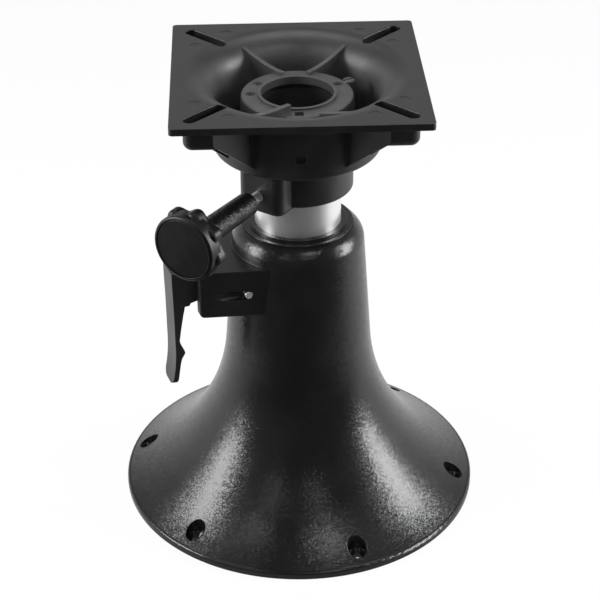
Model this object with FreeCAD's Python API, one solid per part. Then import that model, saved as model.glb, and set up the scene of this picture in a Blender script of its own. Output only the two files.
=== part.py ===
import FreeCAD, Part
import math
import os

os.makedirs("parts", exist_ok=True)

V = FreeCAD.Vector
Z_AXIS = V(0, 0, 1)
ORIGIN = V(0, 0, 0)

# Driving dimensions, in millimetres
PLATE_SIDE = 178.0
PLATE_THICK = 5.0
PLATE_TOP = 346.4
BASE_RADIUS = 137.0
BELL_TOP = 228.0
TUBE_RADIUS = 31.75
TUBE_WALL = 3.0
SEAT_YAW = -18.2
KNOB_ANGLE = 234.3
KNOB_Z = 269.7
TRAVEL_UP = 100.0
TRAVEL_DOWN = 25.0

# Clearances
RUN = 0.05
PRESS = 0.01
SLIDE = 0.3


def ring(outer, inner, low, high):
    """A plain ring about the column axis."""
    body = Part.makeCylinder(outer, high - low, V(0, 0, low))
    return body.cut(Part.makeCylinder(inner, high - low + 2, V(0, 0, low - 1)))


def block(x0, x1, y0, y1, z0, z1):
    """A box between two corners."""
    return Part.makeBox(x1 - x0, y1 - y0, z1 - z0, V(x0, y0, z0))


def prism_xy(points, low, high):
    """A flat outline in plan, raised from low to high."""
    wire = Part.makePolygon([V(x, y, low) for x, y in points + points[:1]])
    return Part.Face(wire).extrude(V(0, 0, high - low))


def prism_xz(edges, low, high):
    """A closed outline in the XZ plane, extended along Y from low to high."""
    face = Part.Face(Part.Wire(edges))
    face.translate(V(0, low, 0))
    return face.extrude(V(0, high - low, 0))


def lines(points):
    """Straight edges through points given as radius and height."""
    return [Part.makeLine(V(a[0], 0, a[1]), V(b[0], 0, b[1])) for a, b in zip(points, points[1:])]


def arc(a, centre, b):
    """The short arc from a to b about a centre, in the XZ plane."""
    radius = math.hypot(a[0] - centre[0], a[1] - centre[1])
    mx = a[0] + b[0] - 2 * centre[0]
    mz = a[1] + b[1] - 2 * centre[1]
    size = math.hypot(mx, mz)
    middle = V(centre[0] + mx * radius / size, 0, centre[1] + mz * radius / size)
    return Part.Arc(V(a[0], 0, a[1]), middle, V(b[0], 0, b[1])).toShape()


def turned(edges):
    """A solid turned about the column axis from a closed outline."""
    return Part.Face(Part.Wire(edges)).revolve(ORIGIN, Z_AXIS, 360)


def spun(shape, angle):
    """A copy turned about the column axis."""
    copy = shape.copy()
    copy.rotate(ORIGIN, Z_AXIS, angle)
    return copy


def spline(points):
    """A smooth edge through points in the XZ plane."""
    curve = Part.BSplineCurve()
    curve.interpolate([V(x, 0, z) for x, z in points])
    return curve.toShape()


def joined(first, others):
    """One body from several that touch."""
    return first.multiFuse(others).removeSplitter()


def save(name, shape):
    """Writes one piece as a STEP file."""
    if shape.ShapeType == "Compound" and len(shape.Solids) == 1:
        shape = shape.Solids[0]
    shape.exportStep("parts/" + name + ".step")


# Bell: outer outline
DRAFT = math.radians(4)
RIM_HEIGHT = 3.4
RIM_ROUND = 2.2
FLARE_TOP = (55.0, 131.0)
SHOULDER = 14.5
BELL_WALL = 4.5
rim_edge = (BASE_RADIUS - RIM_ROUND, RIM_HEIGHT + RIM_ROUND)
run_x = rim_edge[0] - FLARE_TOP[0]
run_z = rim_edge[1] - FLARE_TOP[1]
flare = (run_x ** 2 + run_z ** 2) / (2 * (run_x * math.cos(DRAFT) + run_z * math.sin(DRAFT)))
flare_mid = (FLARE_TOP[0] + flare * math.cos(DRAFT), FLARE_TOP[1] + flare * math.sin(DRAFT))
shoulder_z = BELL_TOP - SHOULDER
neck_radius = FLARE_TOP[0] - (shoulder_z - FLARE_TOP[1]) * math.tan(DRAFT)
shoulder_mid = (neck_radius - SHOULDER, shoulder_z)
neck_top = (shoulder_mid[0] + SHOULDER * math.cos(DRAFT), shoulder_z + SHOULDER * math.sin(DRAFT))
shoulder_top = (shoulder_mid[0], BELL_TOP)
bell = turned(
    lines([(0, BELL_TOP), (0, 0), (BASE_RADIUS, 0), (BASE_RADIUS, RIM_HEIGHT)])
    + [arc((BASE_RADIUS, RIM_HEIGHT), (BASE_RADIUS - RIM_ROUND, RIM_HEIGHT), rim_edge)]
    + [arc(rim_edge, flare_mid, FLARE_TOP)]
    + lines([FLARE_TOP, neck_top])
    + [arc(neck_top, shoulder_mid, shoulder_top)]
    + lines([shoulder_top, (0, BELL_TOP)])
)

# Lever lug on the neck
LUG_LOW = 173.0
LUG_HIGH = 211.0
LUG_REACH = 84.3
LUG_END = 22.3
LUG_ROOT = 30.0
LUG_SLOPE = 0.2675
LUG_ROOF = 4.5
LUG_ROUND = 1.8
LUG_FOOT = 3.5
ROOF_REACH = 76.0
CAVITY = 15.2
lug_wide = LUG_END + (LUG_REACH - LUG_ROOT) * LUG_SLOPE
lug = prism_xy(
    [(-LUG_ROOT, lug_wide), (-LUG_REACH, LUG_END), (-LUG_REACH, -LUG_END), (-LUG_ROOT, -lug_wide)],
    LUG_LOW,
    LUG_HIGH,
)
lug_end = -LUG_REACH + 0.1
foot_edges = [e for e in lug.Edges if e.BoundBox.XMax < lug_end and e.BoundBox.ZMax < LUG_LOW + 0.1]
lug = lug.makeFillet(LUG_FOOT, foot_edges)
foot_top = LUG_LOW + LUG_FOOT + 1
end_edges = [e for e in lug.Edges if e.BoundBox.XMax < lug_end and e.BoundBox.ZMax > foot_top]
lug = lug.makeFillet(LUG_ROUND, end_edges)
bell = bell.fuse(lug)

# Bell: hollow underside, guide barrel, ribs and screw bosses
BARREL_RADIUS = 40.0
BARREL_BORE = 36.0
HOLLOW_TOP = 198.0
LAND_LOW = 172.0
LAND_HIGH = 204.0
LAND_BORE = 32.5
RIB_THICK = 4.0
SCREW_CIRCLE = 123.0
BOSS_RADIUS = 11.0
inner_flare = flare + BELL_WALL
inner_top = (flare_mid[0] - inner_flare * math.cos(DRAFT), flare_mid[1] - inner_flare * math.sin(DRAFT))
inner_low_z = 5.0
inner_low = (flare_mid[0] - math.sqrt(inner_flare ** 2 - (flare_mid[1] - inner_low_z) ** 2), inner_low_z)
inner_neck = (inner_top[0] - (HOLLOW_TOP - inner_top[1]) * math.tan(DRAFT), HOLLOW_TOP)
hollow = turned(
    lines([inner_low, (inner_low[0], -1), (BARREL_RADIUS, -1), (BARREL_RADIUS, HOLLOW_TOP),
           inner_neck, inner_top])
    + [arc(inner_top, flare_mid, inner_low)]
)
rib = block(BARREL_RADIUS - 5, BASE_RADIUS, -RIB_THICK / 2, RIB_THICK / 2, -2, LAND_LOW - 5)
boss = Part.makeCylinder(BOSS_RADIUS, 30, V(SCREW_CIRCLE, 0, -2))
keep = [spun(rib, 60 * k) for k in range(6)] + [spun(boss, 30 + 60 * k) for k in range(6)]
bell = bell.cut(hollow.cut(keep))

# Screw pockets round the rim
POCKET_RADIUS = 7.5
POCKET_FLOOR = 7.0
HOLE_RADIUS = 3.25
pocket = joined(
    Part.makeCylinder(POCKET_RADIUS, 30, V(SCREW_CIRCLE, 0, POCKET_FLOOR)),
    [
        Part.makeCone(HOLE_RADIUS, 6.3, 3.05, V(SCREW_CIRCLE, 0, POCKET_FLOOR - 3.05)),
        Part.makeCylinder(HOLE_RADIUS, 10, V(SCREW_CIRCLE, 0, -1)),
    ],
)
bell = bell.cut([spun(pocket, 30 + 60 * k) for k in range(6)])

# Bores for the column and its upper guide bush
BUSH_RADIUS = 37.5
FLANGE_RADIUS = 41.0
FLANGE_LOW = 225.0
bores = [
    Part.makeCylinder(BARREL_BORE, LAND_LOW + 1, V(0, 0, -1)),
    Part.makeCylinder(LAND_BORE, LAND_HIGH, V(0, 0, 100)),
    Part.makeCylinder(BUSH_RADIUS, 40, V(0, 0, LAND_HIGH)),
    Part.makeCylinder(FLANGE_RADIUS, 40, V(0, 0, FLANGE_LOW)),
]
bell = bell.cut(bores)

# Lug cavity, shoe window and pin hole
PIN_X = -49.5
PIN_Z = 191.0
PIN_RADIUS = 3.0
SHOE_HALF = 11.0
SHOE_LOW = 180.0
SHOE_HIGH = 202.0
CAVITY_BACK = 41.0
MOUTH_REACH = 56.0
roof_low = LUG_HIGH - LUG_ROOF
lug_past = LUG_REACH + 10
cavity = joined(
    block(-lug_past, -MOUTH_REACH, -CAVITY, CAVITY, LUG_LOW - 1, roof_low),
    [
        block(-MOUTH_REACH - 1, -CAVITY_BACK, -CAVITY, CAVITY, SHOE_LOW - 1.5, roof_low),
        block(-lug_past, -ROOF_REACH, -CAVITY, CAVITY, roof_low - 1, LUG_HIGH + 1),
    ],
)
window = block(-60, -30, -SHOE_HALF - SLIDE, SHOE_HALF + SLIDE, SHOE_LOW - SLIDE, SHOE_HIGH + SLIDE)
pin_half = LUG_END + (LUG_REACH + PIN_X) * LUG_SLOPE
pin_hole = Part.makeCylinder(PIN_RADIUS + PRESS, 100, V(PIN_X, -50, PIN_Z), V(0, 1, 0))
bell = bell.cut([cavity, window, pin_hole])

# Relief beside each end of the pin, which fades out along the tapered cheek
RELIEF_RADIUS = 3.9
RELIEF_LONG = 26.0
relief_y = pin_half + RELIEF_RADIUS - RELIEF_LONG * LUG_SLOPE
for side in (-1, 1):
    relief = Part.makeCylinder(RELIEF_RADIUS, LUG_REACH, V(PIN_X, side * relief_y, PIN_Z), V(-1, 0, 0))
    bell = bell.cut(relief)
save("bell_base", bell)

# Upper guide bush in the top of the bell
LIP_RADIUS = 36.0
LIP_TOP = BELL_TOP + 1.8
bush = joined(
    ring(BUSH_RADIUS - PRESS, TUBE_RADIUS + RUN, LAND_HIGH, FLANGE_LOW + 1),
    [
        ring(FLANGE_RADIUS - 0.2, TUBE_RADIUS + RUN, FLANGE_LOW, BELL_TOP),
        ring(LIP_RADIUS, TUBE_RADIUS + RUN, BELL_TOP - 1, LIP_TOP),
    ],
)
save("upper_guide_bush", bush)

# Lever pin, with rounded ends
pin = Part.makeCylinder(PIN_RADIUS, 2 * pin_half, V(PIN_X, -pin_half, PIN_Z), V(0, 1, 0))
pin = pin.makeFillet(0.8, [e for e in pin.Edges if e.Curve.TypeId == "Part::GeomCircle"])
save("lever_pin", pin)

# Column tube and the slide ring on its foot
TUBE_LOW = 36.0
TUBE_HIGH = 321.0
RING_LOW = 32.0
RING_HIGH = LAND_LOW - TRAVEL_UP - SLIDE
tube = ring(TUBE_RADIUS, TUBE_RADIUS - TUBE_WALL, TUBE_LOW, TUBE_HIGH)
slide_ring = joined(
    ring(BARREL_BORE - RUN, TUBE_RADIUS + PRESS, RING_LOW, RING_HIGH),
    [ring(BARREL_BORE - RUN, TUBE_RADIUS - TUBE_WALL, RING_LOW, TUBE_LOW)],
)
RIVET_RADIUS = 2.4
RIVET_Z = 58.0
for index in range(3):
    turn = 30 + 120 * index
    reach = BARREL_BORE - 0.6
    hole = Part.makeCylinder(RIVET_RADIUS + PRESS, 20, V(TUBE_RADIUS - 8, 0, RIVET_Z), V(1, 0, 0))
    shank = Part.makeCylinder(RIVET_RADIUS, reach - 27, V(27, 0, RIVET_Z), V(1, 0, 0))
    head = Part.makeCylinder(4.0, 1.6, V(26, 0, RIVET_Z), V(1, 0, 0))
    head = head.cut(Part.makeCylinder(TUBE_RADIUS, TUBE_HIGH, ORIGIN).cut(
        Part.makeCylinder(TUBE_RADIUS - TUBE_WALL, TUBE_HIGH, ORIGIN)))
    tube = tube.cut(spun(hole, turn))
    slide_ring = slide_ring.cut(spun(hole, turn))
    save("slide_ring_rivet_%d" % (index + 1), spun(joined(shank, [head]), turn))
save("column_tube", tube)
save("lower_slide_ring", slide_ring)

# Cam lever
LEVER_HALF = 10.5
FLANGE_THICK = 3.0
TIP_ROUND = 6.5
CAM_RADIUS = 7.15
CAM_OFFSET = 1.2 * math.sqrt(0.5)
LEVER_TOP = 207.5
LEVER_FOOT = 111.0
outer_face = [(101.6, LEVER_TOP), (101.4, 192), (101.1, 178), (100.9, 150), (101.1, 134), (102.6, 121),
              (104.6, LEVER_FOOT + 0.5)]
inner_face = [(101.0, LEVER_FOOT), (98.6, 122), (97.3, 130), (95.6, 135.2), (93.8, 138.6), (95.4, 143.4),
              (97.3, 149), (97.7, 165), (98.1, 190), (98.2, LEVER_TOP)]
outer_face = [(-x, z) for x, z in outer_face]
inner_face = [(-x, z) for x, z in inner_face]
strip_edges = [spline(outer_face)]
strip_edges += lines([outer_face[-1], inner_face[0]])
strip_edges += [spline(inner_face)]
strip_edges += lines([inner_face[-1], outer_face[0]])
strip = prism_xz(strip_edges, -LEVER_HALF, LEVER_HALF)
tip_edges = [e for e in strip.Edges if e.BoundBox.YLength < 0.01 and e.BoundBox.ZMax < LEVER_FOOT + 1]
strip = strip.makeFillet(TIP_ROUND, tip_edges)
flange_points = [(99.5, 207), (83.4, 207), (83.4, 190.2), (76, 192.8), (64, 194.6), (50, 197), (50, 184.5),
                 (84, 181.5), (88, 180.5), (89, 178.5), (93.3, 178.5), (93.8, 172), (96, 160), (97.8, 148),
                 (99.5, 148), (99.5, 207)]
rib_points = [(99.5, 182), (88.5, 182), (89, 178.5), (90.5, 169), (92.4, 162), (94.8, 153), (97.8, 146),
              (99.5, 146), (99.5, 182)]
side = prism_xz(lines([(-x, z) for x, z in flange_points]), LEVER_HALF - FLANGE_THICK, LEVER_HALF)
rib_plate = prism_xz(lines([(-x, z) for x, z in rib_points]), -FLANGE_THICK / 2, FLANGE_THICK / 2)
other = side.copy()
other.translate(V(0, FLANGE_THICK - 2 * LEVER_HALF, 0))
web_points = [(-99.5, 182), (-52, 190), (-52, 193), (-99.5, 185), (-99.5, 182)]
web = prism_xz(lines(web_points), -LEVER_HALF, LEVER_HALF)
cam = Part.makeCylinder(
    CAM_RADIUS,
    2 * (CAVITY - SLIDE),
    V(PIN_X + CAM_OFFSET, -CAVITY + SLIDE, PIN_Z - CAM_OFFSET),
    V(0, 1, 0),
)
lever = joined(strip, [side, other, rib_plate, web, cam])
lever = lever.cut(Part.makeCylinder(PIN_RADIUS + RUN, 60, V(PIN_X, -30, PIN_Z), V(0, 1, 0)))
save("cam_lever", lever)

# Brake shoe between the cam and the tube, with its lining
shoe_back = PIN_X + CAM_OFFSET + CAM_RADIUS + SLIDE
LINING = 2.5
core = block(shoe_back, -TUBE_RADIUS + 8, -SHOE_HALF, SHOE_HALF, SHOE_LOW, SHOE_HIGH)
core = core.cut(Part.makeCylinder(TUBE_RADIUS + SLIDE, 80, V(0, 0, 160)))
backing = core.cut(Part.makeCylinder(TUBE_RADIUS + SLIDE + LINING, 80, V(0, 0, 160)))
lining = core.common(Part.makeCylinder(TUBE_RADIUS + SLIDE + LINING, 80, V(0, 0, 160)))
save("brake_shoe", backing)
save("shoe_lining", lining)

# Seat mount: plate with a rounded dish, floor, hub and collar
plate_low = PLATE_TOP - PLATE_THICK
LIP_BEND = 22.0
DISH_LEAN = math.radians(4)
DISH_INNER = 56.6
DISH_WALL = 4.0
WALL_LEFT = 7.0
DISH_LOW = 290.0
FLOOR_THICK = 4.0
HUB_RADIUS = 40.0
HUB_TOP = 329.5
HUB_FOOT = 43.5
HUB_HOLE = 26.0
HUB_LIP = 28.4
COLLAR_RADIUS = 40.5
COLLAR_LOW = 259.0
COLLAR_BORE = 34.5
BORE_TOP = 325.0
dish_floor = DISH_LOW + FLOOR_THICK
lip_bend = min(LIP_BEND, PLATE_TOP - dish_floor - WALL_LEFT)
bend_z = PLATE_TOP - lip_bend
wall_high = bend_z + lip_bend * math.sin(DISH_LEAN) - dish_floor
dish_rim = DISH_INNER + wall_high * math.tan(DISH_LEAN) + lip_bend * math.cos(DISH_LEAN)


def wall_at(z, inset):
    """Radius of the leaning dish wall at a height, set back into the material by inset."""
    bend = lip_bend - inset
    bend_end = bend_z + bend * math.sin(DISH_LEAN)
    return dish_rim - bend * math.cos(DISH_LEAN) - (bend_end - z) * math.tan(DISH_LEAN)


def dish_body(inset, low, high):
    """A solid that fills the dish from low to high, set back into the material by inset."""
    bend_end = bend_z + (lip_bend - inset) * math.sin(DISH_LEAN)
    wall_top = (wall_at(bend_end, inset), bend_end)
    rim = (dish_rim, PLATE_TOP - inset)
    return turned(
        lines([(dish_rim, high), (0, high), (0, low), (wall_at(low, inset), low), wall_top])
        + [arc(wall_top, (dish_rim, bend_z), rim)]
        + lines([rim, (dish_rim, high)])
    )


def round_foot(body, radius, low):
    """Rounds the outer edge of a turned body's foot."""
    foot = [e for e in body.Edges if e.BoundBox.ZMax < low + 0.1 and e.BoundBox.XLength > 90]
    return body.makeFillet(radius, foot)


plate = block(-PLATE_SIDE / 2, PLATE_SIDE / 2, -PLATE_SIDE / 2, PLATE_SIDE / 2, plate_low, PLATE_TOP)
plate = plate.makeFillet(3.0, [e for e in plate.Edges if abs(e.Vertexes[0].Z - e.Vertexes[1].Z) > 1])
bowl = round_foot(dish_body(DISH_WALL, DISH_LOW, PLATE_TOP), 3.0, DISH_LOW)
scoop = round_foot(dish_body(0, dish_floor, PLATE_TOP + 1), 4.0, dish_floor)

# Inverted channels under the corners, each astride a slot
CHANNEL_HALF = 14.4
CHANNEL_WALL = 3.5
CHANNEL_MARGIN = 9.0
CHANNEL_DEEP = 22.2
CHANNEL_KNEE = 96.0
CHANNEL_ROOT = 50.0
END_ROUND = 6.0
channel_low = PLATE_TOP - CHANNEL_DEEP
channel_knee = (CHANNEL_KNEE, channel_low + 2.2)
channel_high = plate_low + 1
channel_foot = (DISH_INNER + 2, DISH_LOW + 6)
end_side = PLATE_SIDE / 2 - CHANNEL_MARGIN
end_tip = end_side * math.sqrt(2)


def corner_square(half, low, high):
    """A square block whose corner points along X."""
    return spun(block(-half, half, -half, half, low, high), 45)


arm = prism_xz(
    lines([(CHANNEL_ROOT, channel_high), (CHANNEL_ROOT, DISH_LOW + 4), channel_foot, channel_knee,
           (CHANNEL_KNEE, channel_high), (CHANNEL_ROOT, channel_high)]),
    -CHANNEL_HALF,
    CHANNEL_HALF,
)
end_block = corner_square(end_side, channel_low, channel_high)
end_block = end_block.makeFillet(END_ROUND + 0.5, [e for e in end_block.Edges if e.BoundBox.ZLength > 5])
low_edges = [e for e in end_block.Edges if e.BoundBox.ZMax < channel_low + 0.1]
end_block = end_block.makeFillet(END_ROUND, low_edges)
end_block = end_block.common(
    block(CHANNEL_KNEE - 5, end_tip, -CHANNEL_HALF, CHANNEL_HALF, channel_low - 1, channel_high)
)
inside_half = CHANNEL_HALF - CHANNEL_WALL
inside = block(DISH_INNER + 2, end_tip, -inside_half, inside_half, DISH_LOW - 10, plate_low)
inside = inside.common(corner_square(end_side - CHANNEL_WALL, DISH_LOW - 10, plate_low))
channel = joined(arm, [end_block]).cut(inside)
corners = [45 + 90 * k for k in range(4)]
mount = plate.fuse([bowl] + [spun(channel, a) for a in corners])
mount = mount.cut(scoop)

# Hub with its lip, collar and the boss for the lock stud
BOSS_FACE = 50.5
BOSS_HALF = 18.5
BOSS_ROUND = 7.0
BOSS_DROP = 2.8
hub = Part.makeCone(HUB_FOOT, HUB_RADIUS, HUB_TOP - DISH_LOW, V(0, 0, DISH_LOW))
hub = hub.makeFillet(1.0, [e for e in hub.Edges if e.BoundBox.ZMin > HUB_TOP - 0.1])
hub_lip = Part.makeCylinder(HUB_LIP, 3, V(0, 0, HUB_TOP - 1.5))
collar = Part.makeCylinder(COLLAR_RADIUS, DISH_LOW + 1 - COLLAR_LOW, V(0, 0, COLLAR_LOW))
collar = collar.makeFillet(1.0, [e for e in collar.Edges if e.BoundBox.ZMax < COLLAR_LOW + 0.1])
boss_low = COLLAR_LOW - BOSS_DROP
stud_boss = block(20, BOSS_FACE, -BOSS_HALF, BOSS_HALF, boss_low, DISH_LOW + 1)
upright = [e for e in stud_boss.Edges if e.BoundBox.XMin > BOSS_FACE - 0.1 and e.BoundBox.ZLength > 5]
stud_boss = stud_boss.makeFillet(BOSS_ROUND, upright)
under = [e for e in stud_boss.Edges if e.BoundBox.ZMax < boss_low + 0.1 and e.BoundBox.XMax > 21]
stud_boss = stud_boss.makeFillet(BOSS_ROUND / 2, under)
stud_boss = spun(stud_boss, KNOB_ANGLE)

# Curved webs between the dish wall and the hub
WEB_HALF = 1.8
WEB_REACH = 73.0
WEB_TURN = 49.0
WEB_START = (9.0, 32.0)
WEB_ROOT = math.hypot(WEB_START[0], WEB_START[1])


def web_plate(inner, rise, middle):
    """An upright web along X, from inside the dish wall to its inner end on the hub."""
    high = PLATE_TOP - 3.5
    low = DISH_LOW + 1
    crest = [(WEB_REACH, high), (58, HUB_TOP + 7.5), (46, HUB_TOP + middle), (inner, HUB_TOP + rise)]
    frame = lines([(inner, HUB_TOP + rise), (inner, low), (WEB_REACH, low), (WEB_REACH, high)])
    return prism_xz([spline(crest)] + frame, -WEB_HALF, WEB_HALF)


webs = []
for index, web_shape in enumerate([(33.0, 2.5, 4.0), (33.0, 2.5, 4.0), (30.0, 5.8, 6.4), (41.0, 2.5, 4.0)]):
    mirrored = -1 if index % 2 else 1
    piece = web_plate(*web_shape)
    piece.translate(V(-WEB_ROOT, 0, 0))
    piece.rotate(ORIGIN, Z_AXIS, 90 - mirrored * WEB_TURN)
    piece.translate(V(mirrored * WEB_START[0], WEB_START[1], 0))
    webs.append(spun(piece, 180 if index > 1 else 0))
envelope = dish_body(1.0, DISH_LOW, PLATE_TOP)
webs = [w.common(envelope) for w in webs]

# Small pillar beside the hub, and the screw recesses in its ring
PILLAR_RADIUS = 4.6
PILLAR_REACH = 42.5
PILLAR_TURN = 27.0
pillar_top = HUB_TOP + 1.6
pillar = Part.makeCylinder(PILLAR_RADIUS, pillar_top - DISH_LOW, V(PILLAR_REACH, 0, DISH_LOW))
pillar = pillar.makeFillet(1.4, [e for e in pillar.Edges if e.BoundBox.ZMin > pillar_top - 0.1])
pillar = pillar.cut(block(PILLAR_REACH - 6, PILLAR_REACH + 6, -0.6, 0.6, pillar_top - 0.9, pillar_top + 1))
mount = joined(mount, [hub, hub_lip, collar, stud_boss, spun(pillar, PILLAR_TURN)] + webs)

# Bores, slots and recesses of the mount
STUD_RADIUS = 4.0
SLOT_HALF = 4.5
SLOT_IN = 77.0
SLOT_OUT = 106.0
SLOT_CHAMFER = 0.6
PAD_RADIUS = 6.0
PAD_BACK = 42.0
PAD_TRAVEL = 3.0
MARK_RADIUS = 4.4
MARK_PLACE = (85.5, 15.7)
MARK_DEEP = 0.25
NOTCH_Z = 308.2
pad_room = PAD_BACK + PAD_TRAVEL + 2 * SLIDE
notch_face = -wall_at(NOTCH_Z, DISH_WALL)
cuts = [
    Part.makeCylinder(COLLAR_BORE, BORE_TOP - boss_low + 1, V(0, 0, boss_low - 1)),
    Part.makeCylinder(HUB_HOLE, 30, V(0, 0, BORE_TOP - 5)),
    spun(Part.makeCylinder(STUD_RADIUS + RUN, 40, V(30, 0, KNOB_Z), V(1, 0, 0)), KNOB_ANGLE),
    spun(Part.makeCylinder(PAD_RADIUS + SLIDE, pad_room - 30, V(30, 0, KNOB_Z), V(1, 0, 0)), KNOB_ANGLE),
    block(-3.5, 3.5, notch_face - 3, notch_face + 1.8, NOTCH_Z - 3, NOTCH_Z + 3),
    block(-3.0, 3.0, -37.0, -30.5, HUB_TOP - 2.2, HUB_TOP + 2),
]


def slot_cutter():
    """One long slot along X, with a small chamfer round its top edge."""
    low = plate_low - 1
    flare = SLOT_HALF + SLOT_CHAMFER
    flare_low = PLATE_TOP - SLOT_CHAMFER
    section = [(-SLOT_HALF, flare_low), (SLOT_HALF, flare_low), (flare, PLATE_TOP), (-flare, PLATE_TOP)]
    outline = Part.makePolygon([V(SLOT_IN, y, z) for y, z in section + section[:1]])
    bevel = Part.Face(outline).extrude(V(SLOT_OUT - SLOT_IN, 0, 0))
    pieces = [bevel]
    for x in (SLOT_IN, SLOT_OUT):
        pieces.append(Part.makeCylinder(SLOT_HALF, PLATE_TOP - low, V(x, 0, low)))
        pieces.append(Part.makeCone(SLOT_HALF, flare, SLOT_CHAMFER, V(x, 0, flare_low)))
    return joined(block(SLOT_IN, SLOT_OUT, -SLOT_HALF, SLOT_HALF, low, PLATE_TOP), pieces)


for corner in corners:
    cuts.append(spun(slot_cutter(), corner))
    for side_of in (-1, 1):
        spot = V(MARK_PLACE[0], side_of * MARK_PLACE[1], PLATE_TOP - MARK_DEEP)
        mark = Part.makeCylinder(MARK_RADIUS, 1, spot)
        cuts.append(spun(mark, corner))
SCREW_TURNS = (27.0, 147.0, 178.0)
RECESS_RADIUS = 3.4
SCREW_CIRCLE_HUB = 33.2
for turn in SCREW_TURNS:
    recess = Part.makeCylinder(RECESS_RADIUS, 6, V(SCREW_CIRCLE_HUB, 0, HUB_TOP - 1.6))
    bore = Part.makeCylinder(1.6, 20, V(SCREW_CIRCLE_HUB, 0, HUB_TOP - 12))
    cuts.append(spun(recess, turn))
    cuts.append(spun(bore, turn))
mount = mount.cut(cuts)
save("seat_mount", spun(mount, SEAT_YAW))

# Swivel bush, thrust washer and its screws
BUSH_LOW = COLLAR_LOW + 1.0
WASHER_LOW = TUBE_HIGH + RUN
swivel = ring(COLLAR_BORE - PRESS, TUBE_RADIUS + RUN, BUSH_LOW, WASHER_LOW - 0.5)
swivel = swivel.cut(spun(Part.makeCylinder(PAD_RADIUS + SLIDE, 20, V(25, 0, KNOB_Z), V(1, 0, 0)), KNOB_ANGLE))
save("swivel_bush", spun(swivel, SEAT_YAW))
washer = ring(COLLAR_BORE - 0.1, TUBE_RADIUS - TUBE_WALL, WASHER_LOW, BORE_TOP - PRESS)
screw_hole = Part.makeCylinder(1.6, 20, V(SCREW_CIRCLE_HUB, 0, BORE_TOP - 15))
washer = washer.cut([spun(screw_hole, turn) for turn in SCREW_TURNS])
save("thrust_washer", spun(washer, SEAT_YAW))
for index, turn in enumerate(SCREW_TURNS):
    screw = joined(
        Part.makeCylinder(RECESS_RADIUS - 0.3, 1.5, V(SCREW_CIRCLE_HUB, 0, HUB_TOP - 1.6 + PRESS)),
        [Part.makeCylinder(1.6 - PRESS, 7.0, V(SCREW_CIRCLE_HUB, 0, HUB_TOP - 8.0))],
    )
    cross = block(-2.0, 2.0, -0.4, 0.4, -0.8, 2).fuse(block(-0.4, 0.4, -2.0, 2.0, -0.8, 2))
    cross.translate(V(SCREW_CIRCLE_HUB, 0, HUB_TOP - 0.1))
    save("hub_screw_%d" % (index + 1), spun(screw.cut(cross), turn + SEAT_YAW))


def on_stud(shape):
    """Turns a shape made along +X at the knob's height to the knob's direction."""
    return spun(shape, KNOB_ANGLE + SEAT_YAW)


def rod(radius, start, end):
    """A round length of the knob's line, measured from the column axis."""
    return Part.makeCylinder(radius, end - start, V(start, 0, KNOB_Z), V(1, 0, 0))


# Pressure pad at the tip of the lock stud
SPIGOT = 2.4
SPIGOT_DEEP = 3.0
tube_side = Part.makeCylinder(TUBE_RADIUS + SLIDE, 8 * PAD_RADIUS, V(0, 0, KNOB_Z - 4 * PAD_RADIUS))
pad = rod(PAD_RADIUS, 30, PAD_BACK).cut(tube_side)
pad = pad.cut(rod(SPIGOT + RUN, PAD_BACK - SPIGOT_DEEP - PAD_TRAVEL - SLIDE, PAD_BACK + 1))
save("pressure_pad", on_stud(pad))

# Lock knob: stud, moulded stem with a lobed head, and a plain cap
STEM_START = 62.0
STEM_SMALL = 8.5
STEM_LARGE = 9.2
STEM_ROUND = 2.0
HEAD_BACK = 123.5
HEAD_FACE = 140.6
HEAD_MEAN = 24.4
HEAD_WAVE = 1.9
HEAD_ROUND = 4.0
LOBE_LONG = 12.5
BEZEL_RADIUS = 24.0
BEZEL_ROUND = 2.0
LOBES = 8
LOBE_TURN = math.radians(33)
CAP_RADIUS = 21.4
CAP_DEEP = 2.4
STUD_END = 112.0
shoulder = PAD_BACK + PAD_TRAVEL + SLIDE
stud = joined(rod(STUD_RADIUS, shoulder, STUD_END), [rod(SPIGOT, PAD_BACK - SPIGOT_DEEP, shoulder + 1)])
save("lock_stud", on_stud(stud))
stem = Part.makeCone(STEM_SMALL, STEM_LARGE, HEAD_BACK + 1 - STEM_START, V(STEM_START, 0, KNOB_Z), V(1, 0, 0))
stem = stem.makeFillet(STEM_ROUND, [e for e in stem.Edges if e.BoundBox.XMax < STEM_START + 0.1])
rim = []
for step in range(12 * LOBES):
    turn = 2 * math.pi * step / (12 * LOBES)
    reach = HEAD_MEAN + HEAD_WAVE * math.cos(LOBES * (turn - LOBE_TURN))
    rim.append(V(HEAD_BACK, reach * math.cos(turn), KNOB_Z + reach * math.sin(turn)))
outline = Part.BSplineCurve()
outline.interpolate(rim, True)
head = Part.Face(Part.Wire(outline.toShape())).extrude(V(LOBE_LONG, 0, 0))
head = head.makeFillet(HEAD_ROUND, [e for e in head.Edges if e.BoundBox.XLength < 0.01])
bezel = rod(BEZEL_RADIUS, HEAD_BACK + LOBE_LONG / 2, HEAD_FACE)
bezel = bezel.makeFillet(BEZEL_ROUND, [e for e in bezel.Edges if e.BoundBox.XMin > HEAD_FACE - 0.1])
neck = Part.makeCone(15.0, STEM_LARGE, 5.0, V(HEAD_BACK + 0.5, 0, KNOB_Z), V(-1, 0, 0))
knob = joined(head, [bezel, stem, neck])
cap_room = rod(CAP_RADIUS + RUN, HEAD_FACE - CAP_DEEP, HEAD_FACE + 5)
knob = knob.cut([rod(STUD_RADIUS + PRESS, STEM_START - 1, STUD_END + 0.5), cap_room])
save("lock_knob", on_stud(knob))
cap = rod(CAP_RADIUS, HEAD_FACE - CAP_DEEP + PRESS, HEAD_FACE - 0.4)
cap = cap.makeFillet(0.6, [e for e in cap.Edges if e.BoundBox.XMin > HEAD_FACE - 0.5])
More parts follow.
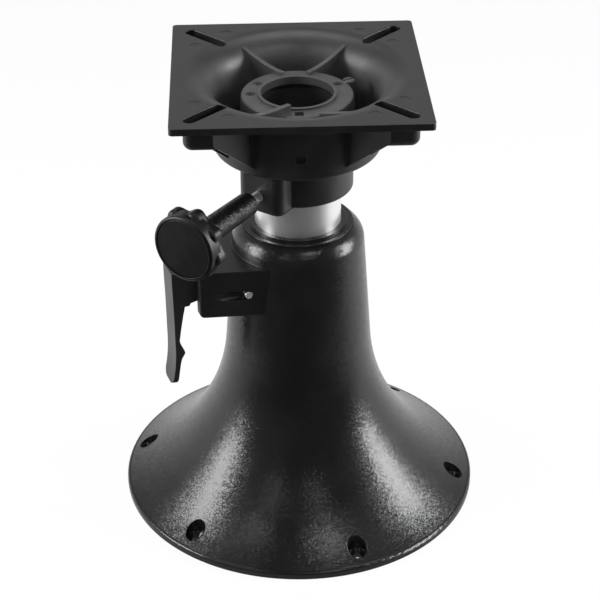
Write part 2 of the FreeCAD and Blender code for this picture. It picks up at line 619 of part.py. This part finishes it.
save("knob_cap", on_stud(cap))
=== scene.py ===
"""An adjustable seat pedestal on a pale studio floor."""
import math

import bpy
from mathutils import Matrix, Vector

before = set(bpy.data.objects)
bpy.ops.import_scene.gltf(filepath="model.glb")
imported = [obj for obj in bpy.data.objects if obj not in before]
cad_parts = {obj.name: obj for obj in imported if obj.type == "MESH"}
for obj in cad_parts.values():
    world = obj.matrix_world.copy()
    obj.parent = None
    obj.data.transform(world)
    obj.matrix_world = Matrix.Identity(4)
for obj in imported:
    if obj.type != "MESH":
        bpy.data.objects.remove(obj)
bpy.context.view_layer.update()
scene = bpy.context.scene
scene.view_settings.view_transform = "Standard"

# The camera's place and lens

CAMERA_PLACE = Vector((-0.4023, -1.0798, 0.8607))
CAMERA_AIM = Vector((0.0012, -0.0005, 0.1583))
CAMERA_ROLL = -0.254
CAMERA_LENS = 106.8
SENSOR_WIDTH = 36.0

# The studio: its turn about the pedestal in degrees, the point the lamps face, and the floor

STUDIO_TURN = -20.5
LIT_MIDDLE = Vector((0, 0, 0.16))
FLOOR_SIDE = 60.0
FLOOR_WHITENESS = 0.93
DIFFUSE_GLOW = 0.3

# Places on the pedestal that a finish follows, in metres; a pair is where it starts and ends

NECK_RADIUS = 0.0641
NECK_TAPER = -0.0699
LUG_STANDS_OUT = (0.0003, 0.0012)
LUG_FOOT = (0.1715, 0.1722)
POCKET_HALF_TURN = math.radians(30)
POCKET_RING = 0.123
POCKET_EDGE = (0.0079, 0.0075)
DISH_FLOOR = (0.2925, 0.2935)
DISH_TOP = (0.3462, 0.3350)
DISH_SKIN = (0.0007, 0.0002)
LIP_HEIGHT = 0.3244
LIP_RADIUS = 0.0808
LIP_ROUND = 0.022
STEM_END = (0.120, 0.118)
TUBE_BORE = (0.0300, 0.0306)

# Grain of the castings and mouldings, in marks per metre

PEBBLES = 1100
FACETS = 1300


# Camera

camera_data = bpy.data.cameras.new("studio_camera")
camera_data.lens = CAMERA_LENS
camera_data.sensor_width = SENSOR_WIDTH
camera = bpy.data.objects.new("studio_camera", camera_data)
scene.collection.objects.link(camera)
camera.location = CAMERA_PLACE
camera.rotation_euler = (CAMERA_AIM - CAMERA_PLACE).to_track_quat("-Z", "Y").to_euler()
camera.rotation_euler.rotate_axis("Z", math.radians(CAMERA_ROLL))
scene.camera = camera


# Studio light: a tall box at each side, a soft one above and four small lamps in front

def lamp(name, azimuth, elevation, distance, width, height, power, lean=0.0):
    """A soft box that faces the middle of the pedestal, leaning sideways in its own plane."""
    data = bpy.data.lights.new(name, "AREA")
    data.shape = "RECTANGLE"
    data.size = width
    data.size_y = height
    data.energy = power
    box = bpy.data.objects.new(name, data)
    scene.collection.objects.link(box)
    turn = math.radians(azimuth + STUDIO_TURN)
    lift = math.radians(elevation)
    flat = math.cos(lift)
    way = Vector((math.cos(turn) * flat, math.sin(turn) * flat, math.sin(lift)))
    box.location = LIT_MIDDLE + distance * way
    box.rotation_euler = (LIT_MIDDLE - box.location).to_track_quat("-Z", "Y").to_euler()
    box.rotation_euler.rotate_axis("Z", math.radians(lean))


lamp("left_box", azimuth=189, elevation=22, distance=1.2, width=0.40, height=0.90, power=15.0, lean=18)
lamp("right_box", azimuth=0, elevation=17, distance=1.2, width=0.40, height=0.85, power=16.0, lean=-24)
lamp("top_box", azimuth=90, elevation=70, distance=1.4, width=0.8, height=0.6, power=6.0)
lamp("front_lamp_right", azimuth=-59, elevation=58, distance=1.5, width=0.16, height=0.16, power=1.9)
lamp("front_lamp_left", azimuth=-133, elevation=51, distance=1.5, width=0.10, height=0.10, power=0.8)
lamp("low_lamp_right", azimuth=-73, elevation=36, distance=1.5, width=0.08, height=0.08, power=0.45)
lamp("low_lamp_left", azimuth=-114, elevation=34, distance=1.5, width=0.08, height=0.08, power=0.45)


# Node helpers for the finishes

def feed(tree, value, socket):
    """Joins a socket to another one, or sets it to a number, a direction or a colour."""
    if isinstance(value, bpy.types.NodeSocket):
        tree.links.new(value, socket)
    elif socket.type == "RGBA":
        socket.default_value = (*value, 1)
    else:
        socket.default_value = value


def node(tree, kind, **settings):
    """A new node with its settings."""
    made = tree.nodes.new(kind)
    for key, value in settings.items():
        setattr(made, key, value)
    return made


def worked_out(tree, operation, first, second=0.0):
    """A sum worked out from two sockets or numbers."""
    made = node(tree, "ShaderNodeMath", operation=operation)
    feed(tree, first, made.inputs[0])
    feed(tree, second, made.inputs[1])
    return made.outputs[0]


def plus(tree, first, second):
    """First and second added."""
    return worked_out(tree, "ADD", first, second)


def minus(tree, first, second):
    """Second taken from first."""
    return worked_out(tree, "SUBTRACT", first, second)


def times(tree, first, second):
    """First multiplied by second."""
    return worked_out(tree, "MULTIPLY", first, second)


def larger(tree, first, second):
    """The larger of the two."""
    return worked_out(tree, "MAXIMUM", first, second)


def axes(tree, place):
    """The three coordinates of a place."""
    made = node(tree, "ShaderNodeSeparateXYZ")
    feed(tree, place, made.inputs[0])
    return made.outputs["X"], made.outputs["Y"], made.outputs["Z"]


def length_of(tree, first, second):
    """The length of a flat vector."""
    squares = plus(tree, times(tree, first, first), times(tree, second, second))
    return worked_out(tree, "SQRT", squares)


def from_axis(tree, place):
    """The distance of a place from the pedestal's upright axis."""
    x, y = axes(tree, place)[:2]
    return length_of(tree, x, y)


def between(tree, value, low, high, start=0.0, end=1.0):
    """A smooth step of a socket from low to high, as start to end."""
    made = node(tree, "ShaderNodeMapRange", interpolation_type="SMOOTHSTEP")
    feed(tree, value, made.inputs["Value"])
    feed(tree, low, made.inputs["From Min"])
    feed(tree, high, made.inputs["From Max"])
    feed(tree, start, made.inputs["To Min"])
    feed(tree, end, made.inputs["To Max"])
    return made.outputs[0]


def noise(tree, place, scale, detail=2.0, rough=0.5):
    """A noise pattern, with its scale in marks per metre."""
    made = node(tree, "ShaderNodeTexNoise")
    feed(tree, scale, made.inputs["Scale"])
    feed(tree, detail, made.inputs["Detail"])
    feed(tree, rough, made.inputs["Roughness"])
    feed(tree, place, made.inputs["Vector"])
    return made.outputs["Fac"]


def stretched(tree, place, scale):
    """Coordinates stretched along the axes."""
    made = node(tree, "ShaderNodeMapping")
    feed(tree, scale, made.inputs["Scale"])
    feed(tree, place, made.inputs["Vector"])
    return made.outputs["Vector"]


def colour_mix(tree, amount, first, second):
    """A colour between two colours."""
    made = node(tree, "ShaderNodeMix", data_type="RGBA")
    feed(tree, amount, made.inputs["Factor"])
    feed(tree, first, made.inputs[6])
    feed(tree, second, made.inputs[7])
    return made.outputs[2]


def shader_mix(tree, amount, first, second):
    """A surface between two surfaces."""
    made = node(tree, "ShaderNodeMixShader")
    for socket, value in zip(made.inputs, (amount, first, second)):
        feed(tree, value, socket)
    return made.outputs[0]


def bump(tree, height, strength, distance, under=None):
    """A bump from a height socket, over another normal where one is given."""
    made = node(tree, "ShaderNodeBump")
    feed(tree, distance, made.inputs["Distance"])
    feed(tree, height, made.inputs["Height"])
    feed(tree, strength, made.inputs["Strength"])
    if under is not None:
        feed(tree, under, made.inputs["Normal"])
    return made.outputs["Normal"]


def soft_edges(tree, radius):
    """A normal that rounds sharp edges."""
    made = node(tree, "ShaderNodeBevel", samples=6)
    feed(tree, radius, made.inputs["Radius"])
    return made.outputs["Normal"]


def along_edges(tree, rounded):
    """A mask that is 1 along the edges that a rounded normal softens."""
    plain = node(tree, "ShaderNodeNewGeometry")
    dot = node(tree, "ShaderNodeVectorMath", operation="DOT_PRODUCT")
    feed(tree, rounded, dot.inputs[0])
    feed(tree, plain.outputs["Normal"], dot.inputs[1])
    return between(tree, dot.outputs["Value"], 0.99, 0.86)


def speckled(tree, place, normal, lean):
    """A normal broken into small facets, each leaning its own way."""
    cells = node(tree, "ShaderNodeTexVoronoi")
    feed(tree, FACETS, cells.inputs["Scale"])
    feed(tree, place, cells.inputs["Vector"])
    centred = node(tree, "ShaderNodeVectorMath", operation="SUBTRACT")
    feed(tree, cells.outputs["Color"], centred.inputs[0])
    feed(tree, (0.5, 0.5, 0.5), centred.inputs[1])
    tilt = node(tree, "ShaderNodeVectorMath", operation="SCALE")
    feed(tree, centred.outputs["Vector"], tilt.inputs[0])
    feed(tree, lean, tilt.inputs["Scale"])
    leaning = node(tree, "ShaderNodeVectorMath", operation="ADD")
    feed(tree, normal, leaning.inputs[0])
    feed(tree, tilt.outputs["Vector"], leaning.inputs[1])
    even = node(tree, "ShaderNodeVectorMath", operation="NORMALIZE")
    feed(tree, leaning.outputs["Vector"], even.inputs[0])
    return even.outputs["Vector"]


def new_finish(name):
    """An empty finish: its material, tree, the shader's sockets and object coordinates."""
    material = bpy.data.materials.new(name)
    material.use_nodes = True
    tree = material.node_tree
    surface = tree.nodes["Principled BSDF"].inputs
    place = node(tree, "ShaderNodeTexCoord").outputs["Object"]
    return material, tree, surface, place


# Masks that follow the pedestal's forms

def on_lug(tree, place):
    """A mask that is 1 on the lever lug, where it stands out from the bell's neck."""
    x, y, z = axes(tree, place)
    neck = plus(tree, NECK_RADIUS, times(tree, z, NECK_TAPER))
    stands_out = minus(tree, length_of(tree, x, y), neck)
    return times(tree, between(tree, stands_out, *LUG_STANDS_OUT), between(tree, z, *LUG_FOOT))


def in_pockets(tree, place):
    """A mask that is 1 in the six screw pockets of the rim."""
    x, y = axes(tree, place)[:2]
    radius = length_of(tree, x, y)
    angle = worked_out(tree, "ARCTAN2", y, x)
    sector = worked_out(tree, "PINGPONG", plus(tree, angle, POCKET_HALF_TURN), POCKET_HALF_TURN)
    aside = times(tree, radius, worked_out(tree, "SINE", sector))
    ahead = minus(tree, times(tree, radius, worked_out(tree, "COSINE", sector)), POCKET_RING)
    return between(tree, length_of(tree, aside, ahead), *POCKET_EDGE)


def in_dish(tree, place):
    """A mask that is 1 on the inside of the seat mount's dish, where the painted sheen is laid."""
    x, y, z = axes(tree, place)
    rise = larger(tree, minus(tree, z, LIP_HEIGHT), 0.0)
    rest = larger(tree, minus(tree, LIP_ROUND ** 2, times(tree, rise, rise)), 0.0)
    wall = minus(tree, LIP_RADIUS, worked_out(tree, "SQRT", rest))
    within = between(tree, minus(tree, length_of(tree, x, y), wall), *DISH_SKIN)
    above_floor = between(tree, z, *DISH_FLOOR)
    below_top = between(tree, z, *DISH_TOP)
    return times(tree, times(tree, within, above_floor), below_top)


# Finishes

def grained_black():
    """Black casting with a fine pebble grain; the lever lug and the screw pockets are left smooth."""
    material, tree, surface, place = new_finish("grained_black")
    lug = on_lug(tree, place)
    smooth = larger(tree, lug, in_pockets(tree, place))
    grain = minus(tree, 1.0, times(tree, smooth, 0.9))
    pebbles = node(tree, "ShaderNodeTexVoronoi", feature="SMOOTH_F1")
    feed(tree, PEBBLES, pebbles.inputs["Scale"])
    feed(tree, 0.5, pebbles.inputs["Smoothness"])
    feed(tree, place, pebbles.inputs["Vector"])
    fine = noise(tree, place, scale=1500, detail=1.5, rough=0.6)
    height = plus(tree, pebbles.outputs["Distance"], fine)
    cloud = noise(tree, place, scale=30, detail=3.0, rough=0.55)
    rounded = soft_edges(tree, 0.0007)
    facets = speckled(tree, place, rounded, lean=times(tree, grain, 0.13))
    feed(tree, bump(tree, height, grain, distance=0.00004, under=facets), surface["Normal"])
    patchy = between(tree, cloud, 0.3, 0.7, start=0.22, end=0.26)
    feed(tree, plus(tree, patchy, times(tree, lug, 0.08)), surface["Roughness"])
    dark = (0.0065, 0.0065, 0.0068)
    pale = (0.0095, 0.0095, 0.0098)
    rubbed = (0.022, 0.022, 0.023)
    tone = colour_mix(tree, between(tree, cloud, 0.35, 0.7), dark, pale)
    worn = times(tree, along_edges(tree, rounded), 0.5)
    feed(tree, colour_mix(tree, worn, tone, rubbed), surface["Base Color"])
    return material


def moulded_black(name, rough, edge_round, scuff, grey, painted_sheen_grey=0.0, sparkle=0.0, shine=0.5):
    """Smooth black moulding with faint flow marks, handling scuffs and paler edges.

    The dish grey argument paints mottled paler patches inside the dish, a painted sheen standing in for the
    light on it; sparkle is the lean of the facets on the knob's stem.
    """
    material, tree, surface, place = new_finish(name)
    cloud = noise(tree, place, scale=45, detail=4.0, rough=0.6)
    fine = noise(tree, place, scale=1300)
    scratch = noise(tree, stretched(tree, place, (60, 900, 240)), scale=1.0, detail=3.0, rough=0.6)
    rounded = soft_edges(tree, edge_round)
    worn = times(tree, along_edges(tree, rounded), 0.6)
    height = plus(tree, times(tree, fine, 0.5), times(tree, cloud, 1.5))
    if sparkle:
        lean = between(tree, from_axis(tree, place), *STEM_END, start=0.04, end=sparkle)
        rounded = speckled(tree, place, rounded, lean)
    feed(tree, bump(tree, height, 0.25, distance=0.0001, under=rounded), surface["Normal"])
    patchy = between(tree, cloud, 0.3, 0.7, *rough)
    scuffed = between(tree, scratch, 0.55, 0.75, start=0.0, end=scuff)
    feed(tree, plus(tree, patchy, scuffed), surface["Roughness"])
    feed(tree, shine, surface["Specular IOR Level"])
    dark = (0.8 * grey, 0.8 * grey, 0.82 * grey)
    pale = (1.2 * grey, 1.2 * grey, 1.22 * grey)
    rubbed = (0.016 + grey, 0.016 + grey, 0.017 + grey)
    tone = colour_mix(tree, between(tree, cloud, 0.35, 0.7), dark, pale)
    colour = colour_mix(tree, worn, tone, rubbed)
    # Painted sheen: mottled paler grey patches inside the dish stand in for the light on it.
    if painted_sheen_grey:
        sheen_patches = between(tree, noise(tree, place, scale=70, detail=5.0, rough=0.65), 0.3, 0.7, start=0.7)
        painted_sheen_mask = times(tree, in_dish(tree, place), sheen_patches)
        colour = colour_mix(tree, painted_sheen_mask, colour, (painted_sheen_grey, painted_sheen_grey, 1.01 * painted_sheen_grey))
    feed(tree, colour, surface["Base Color"])
    return material


def satin_tube():
    """Anodised aluminium with faint drawn lines along the tube; the bore is painted dark grey as painted
    shade inside the tube.
    """
    material, tree, surface, place = new_finish("satin_tube")
    drawn = noise(tree, stretched(tree, place, (1800, 1800, 12)), scale=1.0)
    cloud = noise(tree, place, scale=25, detail=3.0)
    feed(tree, bump(tree, drawn, 0.12, distance=0.0001), surface["Normal"])
    patchy = between(tree, cloud, 0.3, 0.7, start=0.24, end=0.30)
    feed(tree, plus(tree, patchy, times(tree, drawn, 0.06)), surface["Roughness"])
    tone = colour_mix(tree, cloud, (0.78, 0.785, 0.79), (0.86, 0.862, 0.865))
    # Painted shade: the bore's colour is dark grey for the shade inside the tube, the outside keeps the
    # aluminium tone.
    unshaded_outside = between(tree, from_axis(tree, place), *TUBE_BORE)
    feed(tree, colour_mix(tree, unshaded_outside, (0.16, 0.16, 0.165), tone), surface["Base Color"])
    feed(tree, 0.86, surface["Metallic"])
    return material


def bright_steel():
    """Plated steel with a faint fine grain."""
    material, tree, surface, place = new_finish("bright_steel")
    cloud = noise(tree, place, scale=160, detail=3.0, rough=0.6)
    fine = noise(tree, place, scale=2500)
    rounded = soft_edges(tree, 0.0003)
    feed(tree, bump(tree, fine, 0.08, distance=0.0001, under=rounded), surface["Normal"])
    feed(tree, between(tree, cloud, 0.3, 0.75, start=0.14, end=0.26), surface["Roughness"])
    feed(tree, colour_mix(tree, cloud, (0.70, 0.70, 0.71), (0.84, 0.84, 0.84)), surface["Base Color"])
    feed(tree, 0.72, surface["Metallic"])
    return material


def dark_steel():
    """Blackened screw steel, rubbed on its edges."""
    material, tree, surface, place = new_finish("dark_steel")
    cloud = noise(tree, place, scale=300, detail=3.0, rough=0.6)
    rounded = soft_edges(tree, 0.0003)
    worn = along_edges(tree, rounded)
    feed(tree, rounded, surface["Normal"])
    feed(tree, between(tree, cloud, 0.3, 0.75, start=0.25, end=0.42), surface["Roughness"])
    feed(tree, colour_mix(tree, worn, (0.06, 0.06, 0.063), (0.35, 0.35, 0.35)), surface["Base Color"])
    feed(tree, 1.0, surface["Metallic"])
    return material


def plain_nylon():
    """Matt black nylon of the inner slides and bushes."""
    material, tree, surface, place = new_finish("plain_nylon")
    cloud = noise(tree, place, scale=120, detail=4.0, rough=0.6)
    fine = noise(tree, place, scale=1800)
    feed(tree, bump(tree, fine, 0.2, distance=0.0001), surface["Normal"])
    feed(tree, between(tree, cloud, 0.3, 0.7, start=0.42, end=0.56), surface["Roughness"])
    feed(tree, colour_mix(tree, cloud, (0.012, 0.012, 0.012), (0.022, 0.022, 0.022)), surface["Base Color"])
    return material


def friction_rubber():
    """Dark brown friction lining with pale fibres."""
    material, tree, surface, place = new_finish("friction_rubber")
    fibres = noise(tree, stretched(tree, place, (900, 2600, 900)), scale=1.0, detail=3.0, rough=0.6)
    feed(tree, bump(tree, fibres, 0.4, distance=0.0002), surface["Normal"])
    feed(tree, between(tree, fibres, 0.3, 0.7, start=0.75, end=0.9), surface["Roughness"])
    brown = (0.035, 0.028, 0.022)
    pale = (0.10, 0.085, 0.065)
    feed(tree, colour_mix(tree, between(tree, fibres, 0.5, 0.75), brown, pale), surface["Base Color"])
    return material


# Each piece gets its finish

casting = grained_black()
# The seat mount's dish gets a painted sheen of paler grey patches.
mount_black = moulded_black(
    "mount_black", rough=(0.38, 0.46), edge_round=0.0008, scuff=0.08, grey=0.010, painted_sheen_grey=0.07
)
knob_black = moulded_black(
    "knob_black", rough=(0.36, 0.44), edge_round=0.0006, scuff=0.05, grey=0.003, sparkle=0.45, shine=0.34
)
lever_black = moulded_black("lever_black", rough=(0.36, 0.44), edge_round=0.0006, scuff=0.06, grey=0.014)
gloss_black = moulded_black("gloss_black", rough=(0.24, 0.32), edge_round=0.0006, scuff=0.06, grey=0.008)
steel = bright_steel()
screw_steel = dark_steel()
nylon = plain_nylon()
finishes = {
    "bell_base": casting,
    "upper_guide_bush": gloss_black,
    "lever_pin": steel,
    "column_tube": satin_tube(),
    "lower_slide_ring": nylon,
    "slide_ring_rivet_1": steel,
    "slide_ring_rivet_2": steel,
    "slide_ring_rivet_3": steel,
    "seat_mount": mount_black,
    "swivel_bush": nylon,
    "thrust_washer": nylon,
    "hub_screw_1": screw_steel,
    "hub_screw_2": screw_steel,
    "hub_screw_3": screw_steel,
    "pressure_pad": nylon,
    "lock_stud": steel,
    "lock_knob": knob_black,
    "knob_cap": knob_black,
    "cam_lever": lever_black,
    "brake_shoe": nylon,
    "shoe_lining": friction_rubber(),
}
for name, finish in finishes.items():
    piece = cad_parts[name]
    if not piece.material_slots:
        piece.data.materials.append(finish)
    for slot in piece.material_slots:
        slot.material = finish


# Floor and room: white to the camera, with a darker room on the camera's side

def toward_back(tree, place):
    """How far a place lies towards the back of the studio, past the pedestal."""
    turn = math.radians(90 + STUDIO_TURN)
    dot = node(tree, "ShaderNodeVectorMath", operation="DOT_PRODUCT")
    feed(tree, place, dot.inputs[0])
    feed(tree, (math.cos(turn), math.sin(turn), 0), dot.inputs[1])
    return dot.outputs["Value"]


def seen_straight(tree, rays):
    """1 for what the camera sees, through glass too."""
    return larger(tree, rays["Is Camera Ray"], rays["Is Transmission Ray"])


def studio_paper():
    """Pale paper that keeps the pedestal's shadow and is nearly white to the camera."""
    material, tree, surface, place = new_finish("studio_paper")
    feed(tree, 0.9, surface["Roughness"])
    feed(tree, 0.0, surface["Specular IOR Level"])
    speck = noise(tree, place, scale=90, detail=4.0, rough=0.6)
    feed(tree, colour_mix(tree, speck, (0.80, 0.80, 0.80), (0.84, 0.84, 0.84)), surface["Base Color"])
    paper = tree.nodes["Principled BSDF"].outputs[0]
    white = node(tree, "ShaderNodeEmission")
    feed(tree, 1.0, white.inputs["Strength"])
    mirrored = node(tree, "ShaderNodeEmission")
    glow = between(tree, toward_back(tree, place), -0.30, 0.10, start=0.04, end=0.95)
    feed(tree, glow, mirrored.inputs["Strength"])
    rays = node(tree, "ShaderNodeLightPath").outputs
    part_white = shader_mix(tree, FLOOR_WHITENESS, paper, white.outputs[0])
    seen = shader_mix(tree, seen_straight(tree, rays), paper, part_white)
    shown = shader_mix(tree, rays["Is Glossy Ray"], seen, mirrored.outputs[0])
    feed(tree, shown, tree.nodes["Material Output"].inputs["Surface"])
    return material


def studio_room():
    """A white room whose gloss fades on the camera's side and overhead."""
    room = bpy.data.worlds.new("studio_room")
    room.use_nodes = True
    tree = room.node_tree
    rays = node(tree, "ShaderNodeLightPath").outputs
    place = node(tree, "ShaderNodeTexCoord").outputs["Generated"]
    height = axes(tree, place)[2]
    glow = between(tree, toward_back(tree, place), -0.3, 0.35, start=0.10, end=0.95)
    overhead = between(tree, height, 0.0, 0.6, start=1.0, end=0.33)
    glossy = times(tree, rays["Is Glossy Ray"], times(tree, glow, overhead))
    plain = times(tree, rays["Is Diffuse Ray"], DIFFUSE_GLOW)
    strength = larger(tree, seen_straight(tree, rays), larger(tree, glossy, plain))
    back = tree.nodes["Background"].inputs
    feed(tree, strength, back["Strength"])
    feed(tree, (1, 1, 1), back["Color"])
    return room


bpy.ops.object.select_all(action="DESELECT")
bpy.ops.mesh.primitive_plane_add(size=FLOOR_SIDE, location=(0, 0, 0))
floor = bpy.context.object
floor.name = "studio_floor"
floor.data.materials.append(studio_paper())
scene.world = studio_room()
